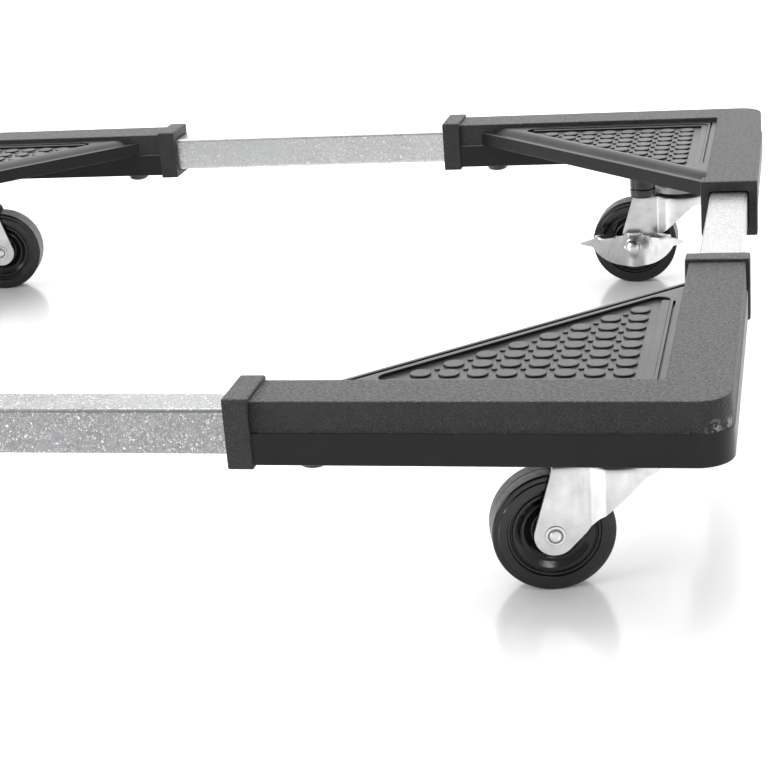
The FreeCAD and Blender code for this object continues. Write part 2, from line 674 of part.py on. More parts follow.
def write_casters():
    common = {
        "fork": fork(),
        "kingpin": kingpin(),
        "upper_race": upper_race(),
        "swivel_balls": swivel_balls(),
        "axle_sleeve": on_axle(axle_sleeve()),
        "axle_washers": on_axle(axle_washers()),
        "wheel_core": on_axle(wheel_core()),
        "tyre": on_axle(tyre()),
    }
    for name, settings in CORNERS.items():
        pieces = dict(common)
        if settings[4]:
            pieces["axle_bolt"] = on_axle(lever_side(axle_bolt(), name))
            pieces["brake_nut"] = on_axle(lever_side(brake_nut(), name))
            pieces["brake_lever"] = on_axle(lever_side(brake_lever(), name))
        else:
            pieces["axle_rivet"] = on_axle(rivet())
        for piece, shape in pieces.items():
            write(place_caster(shape, name), piece + "_" + name)


write_corners()
write_tubes()
write_casters()
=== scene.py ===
"""Detailed look of an adjustable rolling base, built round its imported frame.

Pieces are modelled in millimetres in the local frame of the part that they belong to, then placed in the
row frame by the CAD boxes.
"""
import math

import bmesh
import bpy
from mathutils import Matrix, Vector


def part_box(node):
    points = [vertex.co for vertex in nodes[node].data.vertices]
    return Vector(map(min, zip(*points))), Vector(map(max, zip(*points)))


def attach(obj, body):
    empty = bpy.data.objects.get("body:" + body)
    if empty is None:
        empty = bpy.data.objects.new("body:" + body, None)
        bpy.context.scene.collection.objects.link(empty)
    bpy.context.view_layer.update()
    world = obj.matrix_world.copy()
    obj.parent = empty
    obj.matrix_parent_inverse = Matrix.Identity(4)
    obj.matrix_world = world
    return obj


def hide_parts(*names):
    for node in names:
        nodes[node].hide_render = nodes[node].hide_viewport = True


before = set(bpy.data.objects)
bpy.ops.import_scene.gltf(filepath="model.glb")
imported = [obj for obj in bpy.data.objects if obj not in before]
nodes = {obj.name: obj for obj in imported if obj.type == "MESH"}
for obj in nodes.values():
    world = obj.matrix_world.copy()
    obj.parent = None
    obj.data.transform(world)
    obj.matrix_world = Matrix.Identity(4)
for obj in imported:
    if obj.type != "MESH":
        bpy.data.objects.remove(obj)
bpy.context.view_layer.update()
scene = bpy.context.scene

MM = 0.001
# Quarter turns of each corner, and the side of the object that it is on along X and Y.
CORNERS = {"front_left": (0, -1, -1), "front_right": (1, 1, -1),
           "back_right": (2, 1, 1), "back_left": (3, -1, 1)}
BRAKED = ("front_left", "back_right")

# Moulded corner, local frame with its outer corner at the origin.
ARM_TOP, ARM_BOTTOM, ARM_LENGTH, ARM_WIDTH = 97.0, 69.8, 200.9, 27.0
CORNER_RADIUS, ARM_EDGE, ARM_DRAFT, LEDGE = 14.0, 0.8, 0.3, 0.6
COLLAR_LENGTH, COLLAR_PROUD = 11.0, 1.6
PARTING_Z = 83.7
TUBE_INSET, TUBE_Z, TUBE_HALF = 13.64, 82.57, 10.0
GUSSET_SUM, GUSSET_BOTTOM, RIM_TOP, FLOOR_TOP, LIP_TOP = 202.5, 83.8, 94.5, 92.7, 91.9
RECESS_START, RECESS_SUM, RECESS_RADIUS = 32.0, 183.6, 5.0
GROOVE_START, GROOVE_WIDTH, GROOVE_END = 29.5, 1.1, 138.0
STRIP_INNER, STRIP_END = 35.9, 141.0
PLATE_BOTTOM = 89.7
INTO_PLATE = PLATE_BOTTOM + 0.3
CLAMP_FROM_CORNER = 168.5
SWIVEL_INSET, BOSS_RADIUS, BOSS_BOTTOM = 50.0, 15.0, 62.0
KNOB_INSET, KNOB_BOTTOM, KNOB_RADIUS, KNOB_NECK = 70.5, 58.6, 7.75, 6.9
SCREW_SEAT, RIB_HALF, WALL = ARM_BOTTOM - 0.3, 1.2, 3.0

# Caster, local frame with the swivel axis at the origin; the wheel trails towards -X.
TRAIL, WHEEL_RADIUS = 27.3, 26.0
LEG_OUTER, SHEET, CROWN_TOP, LEG_END = 11.1, 1.8, 57.0, 8.8
HEAD_X, HEAD_RADIUS = 0.8, 18.6
LEVER_INNER, LEVER_SHEET, LEVER_HALF = 12.3, 1.5, 32.0
WING_START, WING_BEND, PEDAL_CENTRE = 6.0, math.radians(22.0), 12.5

# Axis changes, each with what (u, v, w) becomes.
ALONG_X = Matrix(((0, 0, 1, 0), (1, 0, 0, 0), (0, 1, 0, 0), (0, 0, 0, 1)))    # (w, u, v)
ALONG_Y = Matrix(((-1, 0, 0, 0), (0, 0, 1, 0), (0, 1, 0, 0), (0, 0, 0, 1)))   # (-u, w, v)
ABOUT_Y = Matrix(((1, 0, 0, 0), (0, 0, 1, 0), (0, -1, 0, 0), (0, 0, 0, 1)))   # (u, w, -v)
UPRIGHT = Matrix(((1, 0, 0, 0), (0, 0, -1, 0), (0, 1, 0, 0), (0, 0, 0, 1)))   # (u, -w, v)
SWAP_XY = Matrix(((0, 1, 0, 0), (1, 0, 0, 0), (0, 0, 1, 0), (0, 0, 0, 1)))    # (v, u, w)
SWAP_YZ = Matrix(((1, 0, 0, 0), (0, 0, 1, 0), (0, 1, 0, 0), (0, 0, 0, 1)))    # (u, w, v)
ON_AXLE = Matrix.Translation((-TRAIL, 0, WHEEL_RADIUS))


# ---------------------------------------------------------------- mesh building blocks

def rounded(corners, grow=0.0, steps=5):
    """Outline of an anticlockwise polygon of (x, y, radius), grown outwards and with its corners rounded."""
    spots = [Vector(corner[:2]) for corner in corners]
    outline = []
    for index, spot in enumerate(spots):
        before = (spot - spots[index - 1]).normalized()
        after = (spots[(index + 1) % len(spots)] - spot).normalized()
        normal_before, normal_after = Vector((before.y, -before.x)), Vector((after.y, -after.x))
        mitre = (normal_before + normal_after) / (1 + normal_before.dot(normal_after))
        radius = corners[index][2]
        if radius <= 0:
            outline.append(spot + mitre * grow)
            continue
        turn = math.atan2(before.cross(after), before.dot(after))
        side = 1 if turn > 0 else -1
        radius = max(radius + side * grow, 0.05)
        centre = spot + mitre * (grow - side * radius)
        for step in range(steps + 1):
            spoke = Matrix.Rotation(turn * step / steps, 2) @ normal_before
            outline.append(centre + spoke * side * radius)
    return outline


def circle(radius, x=0.0, y=0.0, count=32):
    return [Vector((x + radius * math.cos(math.tau * i / count), y + radius * math.sin(math.tau * i / count)))
            for i in range(count)]


def stack(levels):
    """Closed solid from (height, outline) levels, listed upwards."""
    bm = bmesh.new()
    rings = [[bm.verts.new((spot[0], spot[1], height)) for spot in outline] for height, outline in levels]
    for low, high in zip(rings, rings[1:]):
        for index in range(len(low)):
            after = (index + 1) % len(low)
            bm.faces.new((low[index], low[after], high[after], high[index]))
    bm.faces.new(rings[0][::-1])
    bm.faces.new(rings[-1])
    return bm


def softened(low, high, low_radius, high_radius, steps=3):
    """(height, grow) pairs of a wall with quarter-round edges at its two ends."""
    pairs = []
    for step in range(steps + 1):
        angle = math.pi / 2 * (1 - step / steps)
        pairs.append((low + low_radius * (1 - math.sin(angle)), -low_radius * (1 - math.cos(angle))))
    for step in range(steps + 1):
        angle = math.pi / 2 * step / steps
        pairs.append((high - high_radius * (1 - math.sin(angle)), -high_radius * (1 - math.cos(angle))))
    return [pair for index, pair in enumerate(pairs) if index == 0 or pair[0] > pairs[index - 1][0] + 1e-5]


def slab(corners, low, high, low_radius=0.0, high_radius=0.0, steps=3):
    """Upright block over a polygon of (x, y, radius), its two ends softened."""
    return stack([(height, rounded(corners, grow)) for height, grow in
                  softened(low, high, low_radius, high_radius, steps)])


def block(x0, x1, y0, y1, z0, z1, edge=0.0, low_radius=0.0, high_radius=0.0):
    corners = [(x0, y0, edge), (x1, y0, edge), (x1, y1, edge), (x0, y1, edge)]
    return slab(corners, z0, z1, low_radius, high_radius)


def lathe(outline, count=96):
    """Solid of revolution about Z of a closed outline of (radius, height)."""
    bm = bmesh.new()
    rings = []
    for radius, height in outline:
        if radius < 1e-6:
            rings.append([bm.verts.new((0, 0, height))])
        else:
            rings.append([bm.verts.new((spot.x, spot.y, height)) for spot in circle(radius, count=count)])
    for index, ring in enumerate(rings):
        following = rings[(index + 1) % len(rings)]
        if len(ring) == 1 and len(following) == 1:
            continue
        for i in range(count):
            j = (i + 1) % count
            if len(ring) == 1:
                bm.faces.new((ring[0], following[j], following[i]))
            elif len(following) == 1:
                bm.faces.new((ring[i], ring[j], following[0]))
            else:
                bm.faces.new((ring[i], ring[j], following[j], following[i]))
    return bm


def soft_outline(corners, steps=4):
    """Closed (radius, height) outline from anticlockwise (radius, height, rounding)."""
    return [(max(spot.x, 0.0), spot.y) for spot in rounded(corners, 0.0, steps)]


def moved(bm, matrix):
    bm.transform(matrix)
    return bm


def joined(parts):
    """One mesh of several that don't touch."""
    whole = bmesh.new()
    for part in parts:
        spare = bpy.data.meshes.new("spare")
        part.to_mesh(spare)
        part.free()
        whole.from_mesh(spare)
        bpy.data.meshes.remove(spare)
    return whole


def work_object(bm):
    bmesh.ops.recalc_face_normals(bm, faces=bm.faces[:])
    mesh = bpy.data.meshes.new("work")
    bm.to_mesh(mesh)
    bm.free()
    made = bpy.data.objects.new("work", mesh)
    scene.collection.objects.link(made)
    return made


def combine(base, *steps):
    """base after each (operation, solid) in turn."""
    body = work_object(base)
    used = [body]
    for operation, solid in steps:
        tool = work_object(solid)
        used.append(tool)
        cut = body.modifiers.new(operation, "BOOLEAN")
        cut.operation, cut.object, cut.solver = operation, tool, "MANIFOLD"
    result = bmesh.new()
    result.from_mesh(bpy.data.meshes.new_from_object(body.evaluated_get(bpy.context.evaluated_depsgraph_get())))
    for spent in used:
        mesh = spent.data
        bpy.data.objects.remove(spent)
        bpy.data.meshes.remove(mesh)
    return result


def place(name, source, matrix, finishes, body, replaced, sharp=32.0, choose=None):
    """Put a local millimetre mesh into the row frame as a piece of the visual model."""
    bm = source.copy()
    if choose:
        for face in bm.faces:
            face.material_index = choose(face.calc_center_median(), face.normal)
    bm.transform(matrix @ Matrix.Scale(MM, 4))
    for face in bm.faces:
        face.smooth = True
    mesh = bpy.data.meshes.new(name)
    bm.to_mesh(mesh)
    bm.free()
    mesh.set_sharp_from_angle(angle=math.radians(sharp))
    for finish in finishes:
        mesh.materials.append(finish)
    made = bpy.data.objects.new(name, mesh)
    scene.collection.objects.link(made)
    weighted = made.modifiers.new("normals", "WEIGHTED_NORMAL")
    weighted.keep_sharp = True
    weighted.weight = 80
    made.data = bpy.data.meshes.new_from_object(made.evaluated_get(bpy.context.evaluated_depsgraph_get()))
    made.modifiers.clear()
    bpy.data.meshes.remove(mesh)
    made.data.name = name
    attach(made, body)
    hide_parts(*replaced)


# ---------------------------------------------------------------- finishes

class Finish:
    """A material of procedural nodes round one Principled shader."""

    def __init__(self, name, **inputs):
        self.material = bpy.data.materials.new(name)
        self.material.use_nodes = True
        self.tree = self.material.node_tree
        self.shader = self.tree.nodes["Principled BSDF"]
        for socket, value in inputs.items():
            self.shader.inputs[socket.replace("_", " ")].default_value = value
        self.place = self.tree.nodes.new("ShaderNodeTexCoord").outputs["Object"]
        self.height = None

    def node(self, kind, **inputs):
        made = self.tree.nodes.new("ShaderNode" + kind)
        for key, value in inputs.items():
            socket = made.inputs[key.replace("_", " ")]
            if isinstance(value, bpy.types.NodeSocket):
                self.tree.links.new(value, socket)
            else:
                socket.default_value = value
        return made

    def noise(self, scale, detail=3.0, roughness=0.5, vector=None):
        return self.node("TexNoise", Vector=vector or self.place, Scale=scale, Detail=detail,
                         Roughness=roughness).outputs[0]

    def cells(self, scale, feature="F1", output="Distance"):
        made = self.node("TexVoronoi", Vector=self.place, Scale=scale)
        made.feature = feature
        return made.outputs[output]

    def stretched(self, x, y, z):
        return self.node("Mapping", Vector=self.place, Scale=(x, y, z)).outputs[0]

    def ramp(self, value, *stops):
        made = self.node("ValToRGB", Fac=value)
        elements = made.color_ramp.elements
        while len(elements) < len(stops):
            elements.new(0.5)
        for element, (position, tone) in zip(elements, stops):
            element.position = position
            element.color = (*tone, 1) if isinstance(tone, tuple) else (tone, tone, tone, 1)
        return made.outputs[0]

    def maths(self, operation, first, second):
        made = self.node("Math")
        made.operation = operation
        for socket, value in zip(made.inputs, (first, second)):
            if isinstance(value, bpy.types.NodeSocket):
                self.tree.links.new(value, socket)
            else:
                socket.default_value = value
        return made.outputs[0]

    def blend(self, factor, first, second):
        """Colour mix; first and second are sockets or colours."""
        made = self.tree.nodes.new("ShaderNodeMix")
        made.data_type = "RGBA"
        for index, value in ((0, factor), (6, first), (7, second)):
            if isinstance(value, bpy.types.NodeSocket):
                self.tree.links.new(value, made.inputs[index])
            else:
                made.inputs[index].default_value = value if index == 0 else (*value, 1)
        return made.outputs[2]

    def near(self, spot, reach):
        """1 at a point of the row frame, falling to 0 at that reach."""
        away = self.tree.nodes.new("ShaderNodeVectorMath")
        away.operation = "DISTANCE"
        self.tree.links.new(self.place, away.inputs[0])
        away.inputs[1].default_value = spot
        return self.ramp(self.maths("DIVIDE", away.outputs["Value"], reach), (0.0, 1.0), (1.0, 0.0))

    def bump(self, height, distance, strength):
        made = self.node("Bump", Height=height, Distance=distance, Strength=strength)
        if self.height is not None:
            self.tree.links.new(self.height, made.inputs["Normal"])
        self.height = made.outputs[0]
        self.tree.links.new(self.height, self.shader.inputs["Normal"])

    def drive(self, socket, value):
        self.tree.links.new(value, self.shader.inputs[socket])


def grained_plastic(name, mottle_tone, scuffs):
    """Black moulded plastic with a leather grain, scuffed near the given points.

    mottle_tone is the tone blended through the grain at random; where it is light, as in the tops' copy, it is
    painted sheen."""
    finish = Finish(name, Roughness=0.5, Specular_IOR_Level=0.42)
    grain = finish.ramp(finish.cells(1050, "DISTANCE_TO_EDGE"), (0.0, 0.0), (0.25, 1.0))
    fine = finish.noise(1300, 3.0, 0.7)
    broad = finish.noise(28, 3.0, 0.6)
    mottle = finish.ramp(finish.noise(640, 3.0, 0.7), (0.38, 0.0), (0.62, 1.0))
    speck = finish.ramp(fine, (0.35, 0.0), (0.7, 1.0))
    tone = finish.blend(finish.maths("MULTIPLY", grain, speck), (0.003, 0.003, 0.0033),
                        (0.042, 0.042, 0.043))
    tone = finish.blend(finish.ramp(broad, (0.35, 0.0), (0.7, 0.35)), tone, (0.03, 0.03, 0.031))
    # Blends in the mottle tone, which in the tops' copy is light: painted sheen on up-facing faces.
    tone = finish.blend(finish.maths("MULTIPLY", mottle, 0.7), tone, (mottle_tone, mottle_tone, mottle_tone))
    marks = finish.ramp(finish.noise(330, 4.0, 0.7), (0.46, 0.0), (0.52, 1.0))
    worn = None
    for spot in scuffs:
        local = finish.maths("MULTIPLY", finish.near(spot, 0.0045), marks)
        worn = local if worn is None else finish.maths("MAXIMUM", worn, local)
    finish.drive("Base Color", finish.blend(worn, tone, (0.42, 0.42, 0.41)))
    finish.drive("Roughness", finish.ramp(fine, (0.3, 0.34), (0.7, 0.62)))
    finish.bump(grain, 0.0004, 1.0)
    finish.bump(fine, 0.0002, 0.8)
    return finish.material


def smooth_plastic(name, dark, light, shine):
    """The same plastic where the mould is plain: a faint flow and fine pits."""
    finish = Finish(name, Roughness=0.45, Specular_IOR_Level=shine)
    broad = finish.noise(40, 4.0, 0.6)
    fine = finish.noise(1500, 3.0, 0.6)
    finish.drive("Base Color", finish.ramp(broad, (0.3, dark), (0.75, light)))
    finish.drive("Roughness", finish.ramp(fine, (0.3, 0.3), (0.7, 0.44)))
    finish.bump(fine, 0.00004, 0.6)
    finish.bump(broad, 0.0004, 0.3)
    return finish.material


def glossy_plastic(name, dark=0.006, light=0.012, rough=(0.14, 0.26)):
    finish = Finish(name, Roughness=0.2)
    broad = finish.noise(60, 3.0, 0.55)
    fine = finish.noise(900, 2.0, 0.5)
    finish.drive("Base Color", finish.ramp(broad, (0.3, dark), (0.7, light)))
    finish.drive("Roughness", finish.ramp(fine, (0.35, rough[0]), (0.7, rough[1])))
    finish.bump(broad, 0.0003, 0.35)
    return finish.material


def tread_rubber():
    finish = Finish("tread_rubber", Roughness=0.5)
    streaks = finish.noise(500, 3.0, 0.6)
    dust = finish.noise(90, 4.0, 0.6)
    finish.drive("Base Color", finish.ramp(dust, (0.3, 0.004), (0.7, 0.012)))
    finish.drive("Roughness", finish.ramp(streaks, (0.3, 0.34), (0.7, 0.5)))
    finish.bump(streaks, 0.00008, 0.6)
    return finish.material


def galvanised(name, tone_low, tone_high):
    """Hot-dip zinc: spangles of differing gloss, with bright flecks and soft cloudy patches."""
    finish = Finish(name, Metallic=1.0, Roughness=0.35)
    spangle = finish.cells(900, output="Color")
    small = finish.cells(2100, output="Color")
    cloud = finish.noise(22, 4.0, 0.6)
    grey = finish.maths("ADD", finish.maths("MULTIPLY", spangle, 0.35), finish.maths("MULTIPLY", small, 0.65))
    tone = finish.ramp(grey, (0.2, tone_low), (0.72, tone_high), (0.84, 0.97))
    cloudy = (tone_high, tone_high * 1.02, tone_high * 1.06)
    finish.drive("Base Color", finish.blend(finish.ramp(cloud, (0.35, 0.0), (0.65, 0.45)), tone, cloudy))
    finish.drive("Roughness", finish.ramp(grey, (0.2, 0.46), (0.8, 0.22)))
    finish.bump(spangle, 0.00005, 0.35)
    finish.bump(finish.noise(120, 4.0, 0.6), 0.0002, 0.3)
    return finish.material


def zinc_plate(name, low, high, rough, wave):
    """Bright zinc-plated sheet, faintly clouded and drawn."""
    finish = Finish(name, Metallic=1.0, Roughness=0.3)
    cloud = finish.noise(70, 4.0, 0.6)
    drawn = finish.noise(700, 3.0, 0.6, finish.stretched(1.0, 1.0, 0.15))
    finish.drive("Base Color", finish.ramp(cloud, (0.3, (low, low, low * 1.01)), (0.7, (high, high, high))))
    finish.drive("Roughness", finish.ramp(drawn, (0.3, rough[0]), (0.7, rough[1])))
    finish.bump(cloud, wave, 0.4)
    finish.bump(drawn, 0.00002, 0.5)
    return finish.material


def turned_steel(name, tone, rough):
    finish = Finish(name, Metallic=1.0, Roughness=0.2)
    cloud = finish.noise(300, 3.0, 0.6)
    finish.drive("Base Color", finish.ramp(cloud, (0.3, tone * 0.85), (0.7, tone)))
    finish.drive("Roughness", finish.ramp(cloud, (0.3, rough[0]), (0.7, rough[1])))
    finish.bump(cloud, 0.00003, 0.4)
    return finish.material


def corner_frame(name):
    """Local frame of a moulded corner: its outer corner, with its arms along +X and +Y."""
    turns, side_x, side_y = CORNERS[name]
    low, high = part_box("corner_" + name)
    x = high.x - COLLAR_PROUD * MM if side_x > 0 else low.x + COLLAR_PROUD * MM
    y = high.y - COLLAR_PROUD * MM if side_y > 0 else low.y + COLLAR_PROUD * MM
    return Matrix.Translation((x, y, 0)) @ Matrix.Rotation(math.pi / 2 * turns, 4, "Z")


outer_corners = {name: corner_frame(name) for name in CORNERS}
scuff_spots = []
for name in CORNERS:
    for x, y in ((2.0, 6.8), (7.6, 1.6)):
        spot = Vector((x, y, PARTING_Z + 1.5)) * MM
        scuff_spots.append(outer_corners[name] @ spot)

GRAIN = grained_plastic("moulded_grain", 0.018, scuff_spots)
# Lighter copy of the grained plastic for up-facing tops: painted sheen of the bright surroundings.
GRAIN_TOP_SHEEN = grained_plastic("moulded_grain_dusty", 0.12, scuff_spots)
PLAIN = smooth_plastic("moulded_plain", 0.014, 0.03, 0.5)
# Darker copy of the plain plastic for faces that don't face up and the arm below its parting line: painted
# shade.
PLAIN_SHADED = smooth_plastic("moulded_lower", 0.003, 0.007, 0.24)
GLOSS = glossy_plastic("moulded_gloss")
WHEEL_GLOSS = glossy_plastic("wheel_gloss", 0.003, 0.007, (0.16, 0.28))
TYRE_GLOSS = glossy_plastic("tyre_gloss", 0.003, 0.008, (0.1, 0.22))
TREAD = tread_rubber()
# One zinc for all tubes; the back and side tubes get paler copies as painted light, where the tubes are more
# lit.
TUBE_ZINC_AND_LIGHT = {"front_tube": galvanised("galvanised", 0.18, 0.36),
             "back_tube": galvanised("galvanised_pale", 0.4, 0.53)}
TUBE_ZINC_AND_LIGHT["left_tube"] = TUBE_ZINC_AND_LIGHT["right_tube"] = galvanised("galvanised_even", 0.36, 0.47)
FORK = zinc_plate("fork_zinc", 0.56, 0.8, (0.3, 0.46), 0.0003)
LEVER = zinc_plate("lever_zinc", 0.46, 0.66, (0.24, 0.4), 0.0007)
BRIGHT = turned_steel("bright_steel", 0.82, (0.22, 0.36))
# Dark steel of the race and balls, also used as painted shade in the rivet's rings.
DARK_STEEL_AND_SHADE = turned_steel("bearing_steel", 0.3, (0.3, 0.45))
SCREW_BLACK = glossy_plastic("screw_black", 0.01, 0.02, (0.22, 0.36))


# ---------------------------------------------------------------- moulded corner

def both_arms(make):
    """The same solid for the arm along X and, mirrored, for the arm along Y."""
    return [make(), moved(make(), SWAP_XY)]


def arms():
    """L-shaped beam: its upper half leans in from the parting line, its lower half stands out below it."""
    end = ARM_LENGTH - 0.6
    plan = [(0, 0, CORNER_RADIUS), (end, 0, 0), (end, ARM_WIDTH, 0), (ARM_WIDTH, ARM_WIDTH, 1.0),
            (ARM_WIDTH, end, 0), (0, end, 0)]
    levels = [(height, grow + (-ARM_DRAFT if height > PARTING_Z else LEDGE))
              for height, grow in softened(ARM_BOTTOM, ARM_TOP, ARM_EDGE, ARM_EDGE, 4)]
    halfway = len(levels) // 2
    parting = [(PARTING_Z - 0.3, LEDGE), (PARTING_Z + 0.2, 0.0)]
    levels = levels[:halfway] + parting + levels[halfway:]
    return stack([(height, rounded(plan, grow, 10)) for height, grow in levels])


def collar():
    """Band round the end of an arm."""
    near, far = -COLLAR_PROUD, ARM_WIDTH + COLLAR_PROUD
    low, high = ARM_BOTTOM - COLLAR_PROUD, ARM_TOP + COLLAR_PROUD
    edge, end_edge = 1.1, 0.8
    corners = [(near, low, edge), (far, low, edge), (far, high, edge), (near, high, edge)]
    return moved(slab(corners, ARM_LENGTH - COLLAR_LENGTH, ARM_LENGTH, end_edge, end_edge), ALONG_X)


def socket():
    """Space for the tube, flared at its mouth."""
    half, edge, closed_end = TUBE_HALF + 0.3, 1.2, 24.6
    corners = [(TUBE_INSET - half, TUBE_Z - half, edge), (TUBE_INSET + half, TUBE_Z - half, edge),
               (TUBE_INSET + half, TUBE_Z + half, edge), (TUBE_INSET - half, TUBE_Z + half, edge)]
    levels = ((closed_end, 0.0), (ARM_LENGTH - 0.7, 0.0), (ARM_LENGTH + 0.5, 0.8))
    return moved(stack([(height, rounded(corners, grow)) for height, grow in levels]), ALONG_X)


def above_lip():
    """Space over the slanted side: the rim rolls down into a valley behind a narrow raised lip."""
    lip_inner, lip_outer, valley, reach = 140.9, GUSSET_SUM / math.sqrt(2), 90.6, 130
    profile = [(131.7, RIM_TOP), (132.6, 94.32), (133.5, 93.9), (134.4, 93.25), (135.2, 92.45), (135.9, 91.6),
               (136.4, 91.0), (136.9, 90.7), (137.5, valley), (lip_inner - 0.3, valley), (lip_inner, 90.8),
               (lip_inner + 0.05, LIP_TOP - 0.25), (lip_inner + 0.3, LIP_TOP), (lip_outer - 0.45, LIP_TOP),
               (lip_outer - 0.1, LIP_TOP - 0.15), (lip_outer + 0.2, LIP_TOP - 0.6),
               (lip_outer + 2, LIP_TOP - 0.6), (lip_outer + 2, RIM_TOP + 1.5), (131.0, RIM_TOP + 1.5),
               (131.0, RIM_TOP)]
    section = [(distance, height, 0) for distance, height in profile]
    return moved(slab(section, -reach, reach), Matrix.Rotation(math.pi / 4, 4, "Z") @ SWAP_YZ)


def arm_groove():
    """Narrow groove between the arm and the recessed pad."""
    end = GROOVE_START + GROOVE_WIDTH
    return block(GROOVE_START, GROOVE_END, GROOVE_START, end, RIM_TOP - 1.6, RIM_TOP + 1, 0.4)


def triangle(start, total, radius=0.0):
    return [(start, start, radius), (total - start, start, radius), (start, total - start, radius)]


def recess():
    plan = triangle(RECESS_START, RECESS_SUM, RECESS_RADIUS)
    levels = ((FLOOR_TOP, -0.3), (FLOOR_TOP + 0.1, -0.1), (FLOOR_TOP + 0.3, 0.0), (RIM_TOP - 0.25, 0.0),
              (RIM_TOP - 0.08, 0.08), (RIM_TOP, 0.25), (RIM_TOP + 1.0, 1.2))
    return stack([(height, rounded(plan, grow, 8)) for height, grow in levels])


def strip():
    """Flat raised strip beside the arm, just inside the recess."""
    start = RECESS_START + 0.1
    height = 1.2
    return block(start, STRIP_END, start, STRIP_INNER, FLOOR_TOP - 0.3, FLOOR_TOP + height, 0.3, 0.0, 0.2)


def grip_pattern():
    """Round dots in rows, with a small stud between each four; each outline is (rise, radius)."""
    start, pitch, rows = 44.5, 11.98, 8
    dot = ((-0.3, 4.5), (0.5, 4.5), (0.8, 4.4), (0.95, 4.2), (1.0, 3.9))
    stud = ((-0.3, 1.2), (0.5, 1.2), (0.7, 1.0))
    parts = []
    for row in range(rows):
        for column in range(rows - row):
            x, y = start + column * pitch, start + row * pitch
            parts.append(stack([(FLOOR_TOP + rise, circle(radius, x, y, 36)) for rise, radius in dot]))
            if row + column < rows - 1:
                x, y = x + pitch / 2, y + pitch / 2
                parts.append(stack([(FLOOR_TOP + rise, circle(radius, x, y, 16)) for rise, radius in stud]))
    return joined(parts)


def boss():
    """Socket of the caster's stem."""
    edge = [(0, BOSS_BOTTOM, 0), (BOSS_RADIUS, BOSS_BOTTOM, 0.9), (BOSS_RADIUS, INTO_PLATE, 0),
            (0, INTO_PLATE, 0)]
    return moved(lathe(soft_outline(edge)), Matrix.Translation((SWIVEL_INSET, SWIVEL_INSET, 0)))


def knob():
    """Round two-step boss inboard of the caster."""
    neck_low, neck_high = 64.1, 64.7
    edge = [(0, KNOB_BOTTOM, 0), (KNOB_RADIUS, KNOB_BOTTOM, 2.2), (KNOB_RADIUS, neck_low - 0.2, 0.5),
            (KNOB_NECK, neck_low, 0.2), (KNOB_NECK, neck_high, 0.2), (KNOB_RADIUS, neck_high + 0.2, 0.5),
            (KNOB_RADIUS, INTO_PLATE, 0), (0, INTO_PLATE, 0)]
    return moved(lathe(soft_outline(edge), 64), Matrix.Translation((KNOB_INSET, KNOB_INSET, 0)))


def arm_rib():
    """Rib from an arm to the boss."""
    low = 76
    return block(SWIVEL_INSET - RIB_HALF, SWIVEL_INSET + RIB_HALF, ARM_WIDTH - 1, SWIVEL_INSET,
                 low, INTO_PLATE, 0, 0.5)


def cross_rib():
    """Rib from the boss to the slanted side."""
    reach = GUSSET_SUM / math.sqrt(2) - 2.8 - SWIVEL_INSET * math.sqrt(2)
    turn = Matrix.Translation((SWIVEL_INSET, SWIVEL_INSET, 0)) @ Matrix.Rotation(math.pi / 4, 4, "Z")
    return moved(block(0, reach, -RIB_HALF, RIB_HALF, GUSSET_BOTTOM + 0.1, INTO_PLATE, 0, 0.4), turn)


def clamp_hole():
    outline = circle(3.3, CLAMP_FROM_CORNER, TUBE_INSET)
    return stack([(height, outline) for height in (ARM_BOTTOM - 1, TUBE_Z)])


def moulded_corner():
    """The whole bracket: gusset plate, then its hollows, then all that stands on it, then bores."""
    plate = slab(triangle(ARM_WIDTH - 1, GUSSET_SUM), GUSSET_BOTTOM, RIM_TOP, 0.5)
    hollow_sum = GUSSET_SUM - WALL * math.sqrt(2)
    hollow = slab(triangle(ARM_WIDTH - 2, hollow_sum), GUSSET_BOTTOM - 1, PLATE_BOTTOM, 0.0, 0.6)
    stem_radius, stem_top = 5.0, 86.0
    stem_outline = circle(stem_radius, SWIVEL_INSET, SWIVEL_INSET)
    bore = stack([(height, stem_outline) for height in (BOSS_BOTTOM - 1, stem_top)])
    cut_first = [recess(), hollow, above_lip()] + both_arms(arm_groove)
    added = [arms()] + both_arms(collar) + both_arms(strip) + [grip_pattern(), boss(), knob()]
    added += both_arms(arm_rib) + [cross_rib()]
    cut_last = both_arms(socket) + both_arms(clamp_hole) + [bore]
    steps = [("DIFFERENCE", solid) for solid in cut_first] + [("UNION", solid) for solid in added]
    return combine(plate, *steps, *[("DIFFERENCE", solid) for solid in cut_last])


CORNER_FINISHES = [GRAIN, PLAIN, GLOSS, PLAIN_SHADED, GRAIN_TOP_SHEEN]


def corner_finish(centre, normal):
    """Which of the corner's finishes a face has."""
    if (centre.xy - Vector((KNOB_INSET, KNOB_INSET))).length < KNOB_RADIUS + 0.45 and centre.z < 82:
        return CORNER_FINISHES.index(GLOSS)
    on_arm = min(centre.x, centre.y) < ARM_WIDTH + 0.1
    on_collar = max(centre.x, centre.y) > ARM_LENGTH - COLLAR_LENGTH - 0.2
    on_top = centre.z > RIM_TOP + 0.5
    # Up-facing tops take the lighter grained copy: painted sheen.
    if on_top and normal.z > 0.7:
        return CORNER_FINISHES.index(GRAIN_TOP_SHEEN)
    if on_top or on_collar or on_arm and centre.z > PARTING_Z + 0.1:
        return CORNER_FINISHES.index(GRAIN)
    # Plain faces that face up keep the plain tone; the rest take the darker copy as painted shade.
    return CORNER_FINISHES.index(PLAIN if normal.z > 0.3 and not on_arm else PLAIN_SHADED)


corner_mesh = moulded_corner()
for name, local in outer_corners.items():
    place("moulded_corner_" + name, corner_mesh, local, CORNER_FINISHES, "corner_" + name,
          ["corner_" + name], 32, corner_finish)


# ---------------------------------------------------------------- tubes and clamp screws

